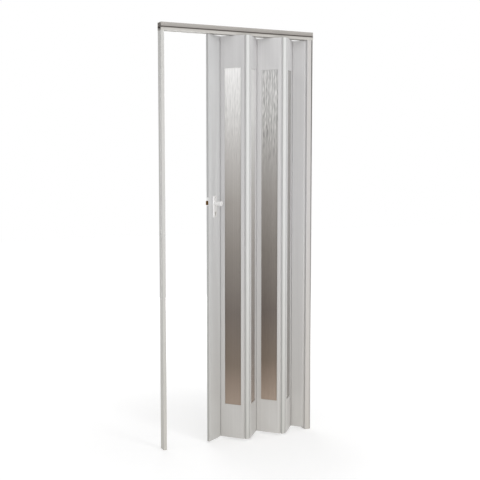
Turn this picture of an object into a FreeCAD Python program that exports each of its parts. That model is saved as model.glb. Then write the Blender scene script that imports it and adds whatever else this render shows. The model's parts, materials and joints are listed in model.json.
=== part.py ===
import FreeCAD, Part
import math
import os
import types

import Sketcher

# Accordion door of hinged plastic panels under a head rail, in millimetres.
# Origin: middle of the rail's top face. X runs along the rail from the strike to the wall side,
# Y points to the back, Z is up. The door stands part folded, as it is left when half open.

doc = FreeCAD.newDocument("accordion_door")
sheet = doc.addObject("Spreadsheet::Sheet", "dims")

# Driving dimensions: one row of the sheet each, angles in degrees
DIMENSIONS = {
    # Whole door
    "door_width": 822,
    "door_height": 2050,
    "floor_gap": 10,
    "top_gap": 2,
    # Head rail
    "rail_depth": 45,
    "rail_height": 38,
    "rail_wall": 2.5,
    "rail_front": 4.2,
    "rail_slot": 19,
    "rail_band": 19,
    "rail_edge": 2,
    "rail_groove": 4.5,
    "rail_groove_depth": 1.8,
    "rail_cove_radius": 22,
    "rail_screw_reach": 300,
    "screw_hole_radius": 2.5,
    # Jambs at the two ends of the rail
    "jamb_width": 40,
    "jamb_wall": 2,
    "wall_offset": 38,
    "wall_base_depth": 29.5,
    "wall_rebate": 8,
    "snap_leg": 8,
    "strike_depth": 16,
    "jamb_screw_top": 300,
    "jamb_screw_span": 1500,
    "driver_window": 12,
    # Fold
    "panel_pivot": 132.5,
    "link_spacing": 16,
    "hang_offset": 56,
    "rest_fold": 49.5,
    # Panel section
    "panel_thick": 14,
    "skin": 1.8,
    "bead_radius": 3,
    "neck_thick": 2.2,
    "shoulder": 6.6,
    "shoulder_run": 2,
    "lip_reach": 3,
    "lip_thick": 1.5,
    "cell_depth": 110,
    "cell_width": 28,
    # Hinge link section
    "socket_play": 0.3,
    "socket_wall": 1.7,
    "socket_mouth": 15,
    "link_crown_width": 18,
    "link_crown_radius": 11,
    "link_web": 2.8,
    # Window
    "window_width": 88,
    "window_top": 155,
    "window_bottom": 170,
    "window_shift": 2,
    "window_rebate": 4,
    "window_lip": 4,
    "pane_thick": 4,
    "pane_play": 0.3,
    # Hanger and glider
    "hanger_length": 27.6,
    "hanger_width": 10,
    "hanger_depth": 28,
    "stem_depth": 20,
    "flange_thick": 1.2,
    "flange_margin": 1.5,
    "stem_side": 6,
    "stem_play": 0.1,
    "disc_radius": 12.5,
    "disc_thick": 4,
    "disc_play": 0.3,
    # Lead post
    "lead_width": 100,
    "lead_pin": 78,
    "lead_round": 2.5,
    "lead_hanger_end": 60,
    "lead_web": 2.2,
    "lead_cell_start": 12,
    "plug_depth": 18,
    "plug_play": 0.2,
    # Lock
    "knob_drop": 856,
    "backset": 55,
    "case_length": 72,
    "case_width": 10,
    "case_top": 24,
    "case_height": 48,
    "case_wall": 1,
    "face_width": 11.4,
    "face_height": 42,
    "face_rise": 10,
    "face_thick": 2.2,
    "bolt_width": 7.4,
    "bolt_height": 20,
    "bolt_rise": 4,
    "bolt_throw": 10,
    "bolt_length": 30,
    "bolt_play": 0.3,
    "bolt_land": 2,
    "tail_thick": 3,
    "tail_height": 4,
    "tail_play": 0.5,
    "hub_radius": 6,
    "hub_finger": 14,
    "finger_width": 4,
    "spindle_side": 7,
    "spindle_reach": 17,
    "spindle_play": 0.05,
    "plate_width": 33,
    "plate_height": 105,
    "plate_thick": 3.2,
    "plate_above_knob": 37,
    "plate_screw_edge": 7,
    "plate_overlap": 4.5,
    "plate_rim": 1.6,
    "plate_screw_radius": 1.8,
    "plate_head_radius": 3.6,
    "plate_head_rise": 1.2,
    "knob_gap": 0.4,
    "front_knob_length": 36,
    "rear_knob_length": 22,
    "knob_neck_radius": 10,
    "knob_flare": 3,
    "knob_rim": 8,
    "knob_tip_radius": 12.6,
    "key_drop": 48,
    "cylinder_radius": 7.6,
    "cylinder_rise": 1.2,
    "plug_radius": 5,
    "plug_clearance": 0.1,
    "key_slot_width": 1.8,
    "key_slot_height": 6.4,
    "key_slot_depth": 8,
    # Strike
    "strike_slot_width": 17,
    "strike_slot_height": 28,
    "strike_slot_shift": 5.5,
    "strike_plate_width": 28,
    "strike_plate_height": 72,
    "strike_plate_thick": 1.2,
    "strike_collar": 1.2,
}


class Size:
    """A length together with the sheet expression that gives it."""

    def __init__(self, number, text):
        self.number = float(number)
        self.text = text

    def __add__(self, other):
        other = as_size(other)
        return Size(self.number + other.number, f"({self.text} + {other.text})")

    __radd__ = __add__

    def __neg__(self):
        return Size(-self.number, f"-1 * {self.text}")

    def __sub__(self, other):
        return self + -as_size(other)

    def __rsub__(self, other):
        return as_size(other) - self

    def __mul__(self, factor):
        return Size(self.number * factor, f"{float(factor)} * {self.text}")

    __rmul__ = __mul__

    def __truediv__(self, divisor):
        return self * (1.0 / divisor)


def as_size(thing):
    return thing if isinstance(thing, Size) else Size(thing, repr(float(thing)))


for row, (alias, number) in enumerate(DIMENSIONS.items(), start=1):
    sheet.set(f"A{row}", alias)
    sheet.set(f"B{row}", str(number))
    sheet.setAlias(f"B{row}", alias)
doc.recompute()
d = types.SimpleNamespace(**{alias: Size(sheet.get(alias), f"dims.{alias}") for alias in DIMENSIONS})

# Levels and half sizes that many pieces share
half_thick = d.panel_thick / 2
half_neck = d.neck_thick / 2
half_door = d.door_width / 2
half_jamb = d.jamb_width / 2
half_slot = d.rail_slot / 2
panel_top = -(d.rail_height + d.top_gap)
panel_bottom = -(d.door_height - d.floor_gap)
panel_height = panel_top - panel_bottom
jamb_height = d.door_height - d.rail_height
socket_inner = d.bead_radius + d.socket_play
socket_outer = socket_inner + d.socket_wall
shoulder_end = d.shoulder + d.shoulder_run


# Sketch and feature helpers; two lengths closer than SAME are one
SAME = 0.01


def new_body(label):
    body = doc.addObject("PartDesign::Body", label)
    body.Label = label
    return body


def new_sketch(body, role, level=0):
    """A sketch on one of the body's origin planes, lifted along the plane's normal by level."""
    item = body.newObject("Sketcher::SketchObject", f"{body.Name}_sketch")
    planes = [feature for feature in body.Origin.OriginFeatures if feature.Role == role]
    item.AttachmentSupport = [(planes[0], "")]
    item.MapMode = "FlatFace"
    item.setExpression("AttachmentOffset.Base.z", as_size(level).text)
    return item


def fix_point(item, geometry, end, x, y):
    """Ties a sketch point to the origin by two distances read from the sheet."""
    for kind, size in (("DistanceX", as_size(x)), ("DistanceY", as_size(y))):
        index = item.addConstraint(Sketcher.Constraint(kind, -1, 1, geometry, end, size.number))
        item.setExpression(f"Constraints[{index}]", size.text)


def add_outline(item, corners):
    """A closed outline through (x, y) corners, counter-clockwise. A third value in a corner makes
    the edge that leaves it an arc of that radius, bulging outwards, or inwards where it is negative."""
    points = [FreeCAD.Vector(as_size(c[0]).number, as_size(c[1]).number, 0) for c in corners]
    first = item.GeometryCount
    starts = []
    for index, corner in enumerate(corners):
        start = points[index]
        end = points[(index + 1) % len(points)]
        inwards = len(corner) == 3 and corner[2].number < 0
        starts.append(2 if inwards else 1)
        if len(corner) == 2:
            item.addGeometry(Part.LineSegment(start, end), False)
            continue
        radius = abs(corner[2].number)
        chord = end - start
        sagitta = radius - math.sqrt(radius ** 2 - (chord.Length / 2) ** 2)
        outward = FreeCAD.Vector(chord.y, -chord.x, 0).normalize()
        middle = (start + end) / 2 + outward * (-sagitta if inwards else sagitta)
        item.addGeometry(Part.Arc(*((end, middle, start) if inwards else (start, middle, end))), False)
    for index, corner in enumerate(corners):
        following = (index + 1) % len(corners)
        link = Sketcher.Constraint(
            "Coincident", first + index, 3 - starts[index], first + following, starts[following])
        item.addConstraint(link)
    for index, corner in enumerate(corners):
        fix_point(item, first + index, starts[index], corner[0], corner[1])
        if len(corner) == 3:
            radius = corner[2] if corner[2].number > 0 else -corner[2]
            fixed = item.addConstraint(Sketcher.Constraint("Radius", first + index, radius.number))
            item.setExpression(f"Constraints[{fixed}]", radius.text)


def add_rectangle(item, left, right, low, high):
    add_outline(item, [(left, low), (right, low), (right, high), (left, high)])


def add_circle(item, x, y, radius):
    centre = FreeCAD.Vector(as_size(x).number, as_size(y).number, 0)
    circle = Part.Circle(centre, FreeCAD.Vector(0, 0, 1), radius.number)
    index = item.addGeometry(circle, False)
    fix_point(item, index, 3, x, y)
    fixed = item.addConstraint(Sketcher.Constraint("Radius", index, radius.number))
    item.setExpression(f"Constraints[{fixed}]", radius.text)


def add_pad(body, profile, length, reverse=False):
    feature = body.newObject("PartDesign::Pad", f"{body.Name}_pad")
    feature.Profile = profile
    feature.Reversed = reverse
    feature.setExpression("Length", as_size(length).text)


def add_pocket(body, profile, length, reverse=False):
    feature = body.newObject("PartDesign::Pocket", f"{body.Name}_pocket")
    feature.Profile = profile
    feature.Reversed = reverse
    feature.setExpression("Length", as_size(length).text)


def add_revolution(body, profile):
    """Turns a profile about the sketch's vertical axis."""
    feature = body.newObject("PartDesign::Revolution", f"{body.Name}_turned")
    feature.Profile = profile
    feature.ReferenceAxis = (profile, ["V_Axis"])
    feature.Angle = 360


def round_edges(body, chosen, along, radius):
    """Fillets the straight edges along one axis whose ends all pass the test chosen."""
    doc.recompute()
    base = body.Tip
    names = []
    for index, edge in enumerate(base.Shape.Edges, start=1):
        direction = edge.tangentAt(edge.FirstParameter)
        if abs(getattr(direction, along)) > 0.9 and all(chosen(end.Point) for end in edge.Vertexes):
            names.append(f"Edge{index}")
    feature = body.newObject("PartDesign::Fillet", f"{body.Name}_round")
    feature.Base = (base, names)
    feature.setExpression("Radius", radius.text)


def bevel_rim(body, level, size):
    """Bevels the edges that lie in the plane y = level."""
    doc.recompute()
    base = body.Tip
    names = [f"Edge{index}" for index, edge in enumerate(base.Shape.Edges, start=1)
             if all(abs(end.Point.y - level) < SAME for end in edge.Vertexes)]
    feature = body.newObject("PartDesign::Chamfer", f"{body.Name}_rim")
    feature.Base = (base, names)
    feature.setExpression("Size", size.text)


def upright(label, corners, bottom, height):
    """A body extruded upwards from one outline in the XY plane."""
    body = new_body(label)
    item = new_sketch(body, "XY_Plane", bottom)
    add_outline(item, corners)
    add_pad(body, item, height)
    return body


def place(body, x, y, turn):
    """Stands a body at a plan point, turned about the vertical by degrees."""
    spin = FreeCAD.Rotation(FreeCAD.Vector(0, 0, 1), turn)
    body.Placement = FreeCAD.Placement(FreeCAD.Vector(x, y, 0), spin)


# Plan of the folded door: pivot axes of the tail, the panels, the links and the lead post
fold = math.radians(d.rest_fold.number)
step = d.panel_pivot.number * math.cos(fold)
wall_axis = half_door.number - d.wall_offset.number
valley_y = d.hang_offset.number * math.sin(fold)
front_y = valley_y - d.panel_pivot.number * math.sin(fold)
spacing = d.link_spacing.number
link_x = {5: wall_axis - d.hang_offset.number * math.cos(fold) - spacing}
for number in (4, 3, 2, 1):
    link_x[number] = link_x[number + 1] - step - spacing
lead_turn = math.degrees(math.asin(valley_y / d.lead_pin.number))


# Head rail: one extrusion with a slotted channel, a coved front band and a shadow groove
def head_rail():
    body = new_body("head_rail")
    section = new_sketch(body, "YZ_Plane", -half_door)
    outer = d.rail_depth / 2
    inner = outer - d.rail_wall
    front = outer - d.rail_front
    lip_top = d.rail_wall - d.rail_height
    groove_top = -d.rail_band
    groove_low = groove_top - d.rail_groove
    groove_y = d.rail_groove_depth - outer
    add_outline(section, [
        (-outer, -d.rail_height), (-half_slot, -d.rail_height), (-half_slot, lip_top), (-front, lip_top),
        (-front, -d.rail_wall), (inner, -d.rail_wall), (inner, lip_top), (half_slot, lip_top),
        (half_slot, -d.rail_height), (outer, -d.rail_height), (outer, 0), (-outer, 0),
        (-outer, -d.rail_edge, -d.rail_cove_radius), (-outer, groove_top), (groove_y, groove_top),
        (groove_y, groove_low), (-outer, groove_low)])
    add_pad(body, section, d.door_width)
    holes = new_sketch(body, "XY_Plane", 0)
    for side in (-1, 1):
        add_circle(holes, side * d.rail_screw_reach, 0, d.screw_hole_radius)
    add_pocket(body, holes, 2 * d.rail_wall)


# Bead sockets: bearings of the mouth's corners from the axis, in degrees, and the share of its depth
# that each corner reaches
MOUTH_BEARINGS = ((80, 0.5), (138, 1.0), (200, 0.5))


def cut_socket(body, axes):
    """Bores a bead socket at each (x, side) and opens its mouth away from the link's middle."""
    bores = new_sketch(body, "XY_Plane", panel_bottom)
    for x, side in axes:
        add_circle(bores, x, 0, socket_inner)
    add_pocket(body, bores, panel_height, reverse=True)
    mouths = new_sketch(body, "XY_Plane", panel_bottom)
    for x, side in axes:
        corners = [(x, 0)]
        for bearing, reach in MOUTH_BEARINGS:
            angle = math.radians(bearing)
            corners.append((x + side * reach * math.cos(angle) * d.socket_mouth,
                            reach * math.sin(angle) * d.socket_mouth))
        add_outline(mouths, corners if side > 0 else corners[:1] + corners[:0:-1])
    add_pocket(body, mouths, panel_height, reverse=True)


# Wall side: a channel screwed to the wall, with a rebate along it, and a hinge strip snapped into it
def wall_side():
    back = half_door
    mouth = back - d.wall_base_depth
    inside = half_jamb - d.jamb_wall
    web = back - d.jamb_wall
    step_out = back - d.wall_rebate
    step_in = step_out - d.jamb_wall
    leg = inside - d.jamb_wall
    base = upright("wall_channel", [
        (mouth, -half_jamb), (step_out, -half_jamb), (step_out, -inside), (back, -inside), (back, inside),
        (step_out, inside), (step_out, half_jamb), (mouth, half_jamb), (mouth, inside), (step_in, inside),
        (step_in, leg), (web, leg), (web, -leg), (step_in, -leg), (step_in, -inside), (mouth, -inside)],
        -d.door_height, jamb_height)
    holes = new_sketch(base, "YZ_Plane", web - d.jamb_wall)
    for level in (d.jamb_screw_top, d.jamb_screw_top + d.jamb_screw_span):
        add_circle(holes, 0, -level, d.screw_hole_radius)
    add_pocket(base, holes, 3 * d.jamb_wall, reverse=True)

    axis = half_door - d.wall_offset
    cover = mouth - d.jamb_wall
    leg_end = mouth + d.snap_leg
    strip = upright("wall_hinge_strip", [
        (cover, -half_jamb), (mouth, -half_jamb), (mouth, -inside), (leg_end, -inside), (leg_end, -leg),
        (mouth, -leg), (mouth, leg), (leg_end, leg), (leg_end, inside), (mouth, inside),
        (mouth, half_jamb), (cover, half_jamb)], -d.door_height, jamb_height)
    socket = new_sketch(strip, "XY_Plane", panel_bottom)
    add_circle(socket, axis, 0, socket_outer)
    add_pad(strip, socket, panel_height)
    bridge = new_sketch(strip, "XY_Plane", panel_bottom)
    add_rectangle(bridge, axis + d.bead_radius, mouth, -socket_outer, -half_neck)
    add_pad(strip, bridge, panel_height)
    cut_socket(strip, [(axis, 1)])


# Hinge links: five like extrusions, a crowned strip with a bead socket at each edge
def hinge_link(number, at_front):
    label = f"hinge_link_{number}"
    half_crown = d.link_crown_width / 2
    half_gap = d.link_spacing / 2
    crown_edge = d.link_web - socket_outer
    body = new_body(label)
    crown = new_sketch(body, "XY_Plane", panel_bottom)
    add_outline(crown, [(-half_crown, crown_edge, d.link_crown_radius), (half_crown, crown_edge)])
    add_pad(body, crown, panel_height)
    rounds = new_sketch(body, "XY_Plane", panel_bottom)
    for side in (-1, 1):
        add_circle(rounds, side * half_gap, 0, socket_outer)
    add_pad(body, rounds, panel_height)
    cut_socket(body, [(-half_gap, 1), (half_gap, -1)])
    middle = link_x[number] + spacing / 2
    if at_front:
        place(body, middle, front_y, 0)
    else:
        place(body, middle, valley_y, 180)


# Panel boards: hollow sections with a bead at each edge and a cover lip over the inside of each fold
def board_corners(width, mirrored):
    """Section from the valley edge (x = 0) to the front edge (x = width), seen from above."""
    lip_line = half_thick - d.lip_thick
    corners = [
        (-d.lip_reach, -half_thick), (width - shoulder_end, -half_thick), (width - d.shoulder, -half_neck),
        (width, -half_neck), (width, half_neck), (width - d.shoulder, half_neck),
        (width - d.shoulder, lip_line), (width + d.lip_reach, lip_line), (width + d.lip_reach, half_thick),
        (shoulder_end, half_thick), (d.shoulder, half_neck), (0, half_neck), (0, -half_neck),
        (d.shoulder, -half_neck), (d.shoulder, -lip_line), (-d.lip_reach, -lip_line)]
    if mirrored:
        corners = [(width - x, y) for x, y in reversed(corners)]
    return corners


def add_beads(body, places):
    beads = new_sketch(body, "XY_Plane", panel_bottom)
    for x in places:
        add_circle(beads, x, 0, d.bead_radius)
    add_pad(body, beads, panel_height)


def window_edges(mirrored):
    """Left, right, low and high edges of the window's front opening."""
    middle = d.panel_pivot / 2 + (d.window_shift if mirrored else -d.window_shift)
    return (middle - d.window_width / 2, middle + d.window_width / 2,
            panel_bottom + d.window_bottom, panel_top - d.window_top)


def glazed_panel(number, mirrored):
    width = d.panel_pivot
    board = upright(f"panel_{number}_board", board_corners(width, mirrored), panel_bottom, panel_height)
    add_beads(board, (0, width))
    left, right, low, high = window_edges(mirrored)
    middle = width - d.hang_offset if mirrored else d.hang_offset

    # Stile cells run the whole height, head and foot cells stop short of the window
    cell = half_thick - d.skin
    stiles = new_sketch(board, "XY_Plane", panel_bottom)
    add_rectangle(stiles, shoulder_end + d.skin, left - d.window_rebate - d.skin, -cell, cell)
    add_rectangle(stiles, right + d.window_rebate + d.skin, width - shoulder_end - d.skin, -cell, cell)
    add_pocket(board, stiles, panel_height, reverse=True)
    near = middle - d.cell_width / 2
    far = middle + d.cell_width / 2
    for level, reverse in ((panel_top, False), (panel_bottom, True)):
        ends = new_sketch(board, "XY_Plane", level)
        add_rectangle(ends, left - d.window_rebate, near - d.skin, -cell, cell)
        add_rectangle(ends, near, far, -cell, cell)
        add_rectangle(ends, far + d.skin, right + d.window_rebate, -cell, cell)
        add_pocket(board, ends, d.cell_depth, reverse=reverse)

    # Window: an opening through the front lip and a wider rebate from the back
    opening = new_sketch(board, "XZ_Plane", half_thick)
    add_rectangle(opening, left, right, low, high)
    add_pocket(board, opening, d.panel_thick)
    rebate = new_sketch(board, "XZ_Plane", -half_thick)
    margin = d.window_rebate
    add_rectangle(rebate, left - margin, right + margin, low - margin, high + margin)
    add_pocket(board, rebate, d.panel_thick - d.window_lip, reverse=True)

    seat = half_thick - d.window_lip
    edge = margin - d.pane_play
    pane = new_body(f"panel_{number}_pane")
    sheet_outline = new_sketch(pane, "XZ_Plane", seat)
    add_rectangle(sheet_outline, left - edge, right + edge, low - edge, high + edge)
    add_pad(pane, sheet_outline, d.pane_thick, reverse=True)

    bead = new_body(f"panel_{number}_glazing_bead")
    ring = new_sketch(bead, "XZ_Plane", seat - d.pane_thick)
    add_rectangle(ring, left - edge, right + edge, low - edge, high + edge)
    add_rectangle(ring, left, right, low, high)
    add_pad(bead, ring, d.panel_thick - d.window_lip - d.pane_thick, reverse=True)
    if mirrored:
        start = (link_x[number] + spacing, front_y, d.rest_fold.number)
        half_plug = d.hanger_length / 2
        hang(f"panel_{number}", middle - half_plug, middle + half_plug, middle, *start)
    else:
        start = (link_x[number] + spacing, valley_y, -d.rest_fold.number)
    for piece in (board, pane, bead):
        place(piece, *start)


# Hangers: a nylon block plugged into the panel head, and the glider that runs in the rail
def hanger_block(owner, left, right, pin):
    block = new_body(f"{owner}_hanger")
    wide_half = d.hanger_width / 2
    plug = new_sketch(block, "XY_Plane", panel_top)
    add_rectangle(plug, left, right, -wide_half, wide_half)
    add_pad(block, plug, d.hanger_depth, reverse=True)
    flange = new_sketch(block, "XY_Plane", panel_top)
    rim = d.flange_margin
    rim_half = half_thick - rim / 2
    add_rectangle(flange, left - rim, right + rim, -rim_half, rim_half)
    add_pad(block, flange, d.flange_thick)
    hole = new_sketch(block, "XY_Plane", panel_top + d.flange_thick)
    half_hole = d.stem_side / 2 + d.stem_play
    add_rectangle(hole, pin - half_hole, pin + half_hole, -half_hole, half_hole)
    add_pocket(block, hole, d.hanger_depth)
    return block


def glider(owner):
    """A disc that turns and slides on the rail's lips, on a square stem held in the hanger."""
    body = new_body(f"{owner}_glider")
    seat = d.rail_wall - d.rail_height + d.disc_play
    disc = new_sketch(body, "XY_Plane", seat)
    add_circle(disc, 0, 0, d.disc_radius)
    add_pad(body, disc, d.disc_thick)
    foot = panel_top - d.stem_depth
    stem = new_sketch(body, "XY_Plane", foot)
    half_stem = d.stem_side / 2
    add_rectangle(stem, -half_stem, half_stem, -half_stem, half_stem)
    add_pad(body, stem, seat - foot)
    return body


def hang(owner, left, right, pin, x, y, turn):
    """Hanger and glider of a piece that stands at a plan point, with the pin along its middle plane."""
    place(hanger_block(owner, left, right, pin), x, y, turn)
    angle = math.radians(turn)
    place(glider(owner), x + pin.number * math.cos(angle), y + pin.number * math.sin(angle), turn)


# Tail: a narrow plain board hinged to the wall strip, with cover lips along its front face
def tail_board():
    width = d.hang_offset
    lip_line = half_thick - d.lip_thick
    body = upright("tail_board", [
        (-d.lip_reach, -half_thick), (width + d.lip_reach, -half_thick), (width + d.lip_reach, -lip_line),
        (width - d.shoulder, -lip_line), (width - d.shoulder, -half_neck), (width, -half_neck),
        (width, half_neck), (width - d.shoulder, half_neck), (width - shoulder_end, half_thick),
        (shoulder_end, half_thick), (d.shoulder, half_neck), (0, half_neck), (0, -half_neck),
        (d.shoulder, -half_neck), (d.shoulder, -lip_line), (-d.lip_reach, -lip_line)],
        panel_bottom, panel_height)
    add_beads(body, (0, width))
    cell = half_thick - d.skin
    cells = new_sketch(body, "XY_Plane", panel_bottom)
    add_rectangle(cells, shoulder_end + d.skin, width / 2 - d.skin / 2, -cell, cell)
    add_rectangle(cells, width / 2 + d.skin / 2, width - shoulder_end - d.skin, -cell, cell)
    add_pocket(body, cells, panel_height, reverse=True)
    place(body, link_x[5] + spacing, valley_y, -d.rest_fold.number)


# Lead post: the closing board, with one long cell and the cut-outs for the lock
def lead_post():
    lip_line = half_thick - d.lip_thick
    body = upright("lead_post", [
        (-d.lead_width, -half_thick), (d.lip_reach, -half_thick), (d.lip_reach, -lip_line),
        (-d.shoulder, -lip_line), (-d.shoulder, -half_neck), (0, -half_neck), (0, half_neck),
        (-d.shoulder, half_neck), (-shoulder_end, half_thick), (-d.lead_width, half_thick)],
        panel_bottom, panel_height)
    add_beads(body, (0,))
    round_edges(body, lambda point: point.x < lead_cell_left.number, "z", d.lead_round)
    cell = half_thick - d.skin
    cells = new_sketch(body, "XY_Plane", panel_bottom)
    add_rectangle(cells, lead_cell_left, -d.lead_cell_start, -cell, cell)
    add_pocket(body, cells, panel_height, reverse=True)

    # Mortise for the faceplate in the closing edge
    mortise = new_sketch(body, "YZ_Plane", -d.lead_width)
    half_face = d.face_width / 2 + d.plug_play
    add_rectangle(mortise, -half_face, half_face, face_low - d.plug_play, face_top + d.plug_play)
    add_pocket(body, mortise, 2 * d.lead_web, reverse=True)

    # Lock window through both faces, hidden under the plates
    window = new_sketch(body, "XZ_Plane", half_thick)
    half_window = d.plate_width / 2 - d.plate_overlap
    add_rectangle(window, lock_x - half_window, lock_x + half_window,
                  plate_low + d.plate_overlap, plate_top - d.plate_overlap)
    add_pocket(body, window, d.panel_thick)
    return body


def lead_foot():
    """Plug that closes the foot of the lead post, with a rim under its walls."""
    body = new_body("lead_foot_plug")
    wide = half_thick - d.skin - d.plug_play
    core = new_sketch(body, "XY_Plane", panel_bottom)
    add_rectangle(core, lead_cell_left + d.plug_play, -d.lead_cell_start - d.plug_play, -wide, wide)
    add_pad(body, core, d.plug_depth)
    rim = new_sketch(body, "XY_Plane", panel_bottom)
    rim_wide = half_thick - d.plug_play
    add_rectangle(rim, d.plug_play - d.lead_width, -shoulder_end, -rim_wide, rim_wide)
    add_pad(body, rim, d.flange_thick, reverse=True)
    return body


# Lock: places in the lead post's own frame, measured from its hinge axis
lead_cell_left = d.lead_web - d.lead_width
lock_x = d.backset - d.lead_width
case_front = d.face_thick - d.lead_width
case_back = case_front + d.case_length
case_top = d.case_top - d.knob_drop
case_low = case_top - d.case_height
bolt_level = d.bolt_rise - d.knob_drop
face_top = d.face_rise + d.face_height / 2 - d.knob_drop
face_low = face_top - d.face_height
key_level = -(d.knob_drop + d.key_drop)
plate_top = d.plate_above_knob - d.knob_drop
plate_low = plate_top - d.plate_height
plate_screw_levels = (plate_top - d.plate_screw_edge, plate_low + d.plate_screw_edge)
plate_face = half_thick + d.plate_thick


def lock_case():
    """Case as a tray open to the back, with a flange behind the faceplate."""
    half_case = d.case_width / 2
    body = new_body("lock_case")
    block = new_sketch(body, "XZ_Plane", half_case)
    add_rectangle(block, case_front, case_back, case_low, case_top)
    add_pad(body, block, d.case_width - d.case_wall, reverse=True)
    flange = new_sketch(body, "YZ_Plane", case_front)
    add_rectangle(flange, -half_case, half_case - d.case_wall, face_low, face_top)
    add_pad(body, flange, d.case_wall)
    hollow = new_sketch(body, "XZ_Plane", half_case - d.case_wall)
    wall = d.case_wall
    add_rectangle(hollow, case_front + wall, case_back - wall, case_low + wall, case_top - wall)
    add_pocket(body, hollow, d.case_width)
    bore = new_sketch(body, "XZ_Plane", half_case)
    add_circle(bore, lock_x, -d.knob_drop, d.hub_radius + d.plug_clearance)
    add_pocket(body, bore, 2 * d.case_wall)
    mouth = new_sketch(body, "YZ_Plane", case_front)
    cut_bolt_mouth(body, mouth, 2 * d.case_wall)

    cover = new_body("lock_cover")
    lid = new_sketch(cover, "XZ_Plane", d.case_wall - half_case)
    add_rectangle(lid, case_front, case_back, case_low, case_top)
    add_circle(lid, lock_x, -d.knob_drop, d.hub_radius + d.plug_clearance)
    add_pad(cover, lid, d.case_wall, reverse=True)
    return [body, cover]


def cut_bolt_mouth(body, item, depth):
    """Cuts the opening that the latch bolt slides through, in a sketch square to the bolt."""
    half_width = d.bolt_width / 2 + d.bolt_play
    half_height = d.bolt_height / 2 + d.bolt_play
    add_rectangle(item, -half_width, half_width, bolt_level - half_height, bolt_level + half_height)
    add_pocket(body, item, depth, reverse=True)


def lock_faceplate():
    body = new_body("lock_faceplate")
    half_face = d.face_width / 2
    blank = new_sketch(body, "YZ_Plane", -d.lead_width)
    add_rectangle(blank, -half_face, half_face, face_low, face_top)
    add_pad(body, blank, d.face_thick)
    mouth = new_sketch(body, "YZ_Plane", -d.lead_width)
    cut_bolt_mouth(body, mouth, 2 * d.face_thick)
    return body


def latch_bolt():
    """Bolt head with a sloped nose, and a tail that reaches over the hub to a hook on its finger."""
    body = new_body("latch_bolt")
    level = -d.knob_drop
    half_height = d.bolt_height / 2
    half_width = d.bolt_width / 2
    tip = -d.lead_width - d.bolt_throw
    head_back = tip + d.bolt_length
    head = new_sketch(body, "XY_Plane", bolt_level - half_height)
    nose = tip + d.bolt_throw
    add_outline(head, [
        (nose, -half_width), (head_back, -half_width), (head_back, half_width), (tip, half_width),
        (tip, half_width - d.bolt_land)])
    add_pad(body, head, d.bolt_height)
    tail_half = d.tail_thick / 2
    tail = new_sketch(body, "XZ_Plane", tail_half)
    rail_low = level + d.hub_finger + 1.5 * d.tail_play
    rail_top = rail_low + d.tail_height
    riser = head_back - d.tail_height
    hook = lock_x + d.finger_width / 2 + d.tail_play
    hook_end = hook + d.tail_height
    hook_low = level + d.hub_radius + d.tail_play
    add_outline(tail, [
        (riser, level), (head_back, level), (head_back, rail_low), (hook, rail_low), (hook, hook_low),
        (hook_end, hook_low), (hook_end, rail_top), (riser, rail_top)])
    add_pad(body, tail, d.tail_thick, reverse=True)
    return body


def lock_hub():
    """Follower that the spindle turns: a drum borne by the case and its cover, with a finger for the bolt."""
    body = new_body("lock_hub")
    half_case = d.case_width / 2
    level = -d.knob_drop
    drum = new_sketch(body, "XZ_Plane", half_case)
    add_circle(drum, lock_x, level, d.hub_radius)
    add_pad(body, drum, d.case_width, reverse=True)
    finger = new_sketch(body, "XZ_Plane", d.tail_thick / 2)
    half_finger = d.finger_width / 2
    add_rectangle(finger, lock_x - half_finger, lock_x + half_finger, level, level + d.hub_finger)
    add_pad(body, finger, d.tail_thick, reverse=True)
    square = new_sketch(body, "XZ_Plane", half_case)
    add_square(square, d.spindle_side / 2 + d.spindle_play)
    add_pocket(body, square, d.case_width)
    return body


def add_square(item, half):
    """The spindle's square section, in a sketch that looks along the spindle."""
    add_rectangle(item, lock_x - half, lock_x + half, -d.knob_drop - half, half - d.knob_drop)


def knob_spindle():
    body = new_body("knob_spindle")
    bar = new_sketch(body, "XZ_Plane", plate_face + d.spindle_reach)
    add_square(bar, d.spindle_side / 2)
    add_pad(body, bar, 2 * (plate_face + d.spindle_reach), reverse=True)
    return body


def lock_plate(label, side):
    """Cover plate on one face of the post; side is -1 at the front, where the key fits, and 1 at the back."""
    body = new_body(label)
    level = half_thick if side > 0 else -half_thick
    blank = new_sketch(body, "XZ_Plane", -level)
    half_width = d.plate_width / 2
    add_rectangle(blank, lock_x - half_width, lock_x + half_width, plate_low, plate_top)
    add_pad(body, blank, d.plate_thick, reverse=side > 0)
    bevel_rim(body, side * plate_face.number, d.plate_rim)
    holes = new_sketch(body, "XZ_Plane", -level)
    add_circle(holes, lock_x, -d.knob_drop, d.hub_radius)
    if side < 0:
        add_circle(holes, lock_x, key_level, d.cylinder_radius + d.plug_play)
    for height in plate_screw_levels:
        add_circle(holes, lock_x, height, d.plate_screw_radius + d.plug_play)
    add_pocket(body, holes, 2 * d.plate_thick, reverse=side < 0)
    return body


def plate_screws():
    """Two machine screws that clamp the plates on the post, heads at the front."""
    body = new_body("plate_screws")
    shafts = new_sketch(body, "XZ_Plane", plate_face)
    heads = new_sketch(body, "XZ_Plane", plate_face)
    for height in plate_screw_levels:
        add_circle(shafts, lock_x, height, d.plate_screw_radius)
        add_circle(heads, lock_x, height, d.plate_head_radius)
    add_pad(body, shafts, 2 * plate_face, reverse=True)
    add_pad(body, heads, d.plate_head_rise)
    return body


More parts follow.
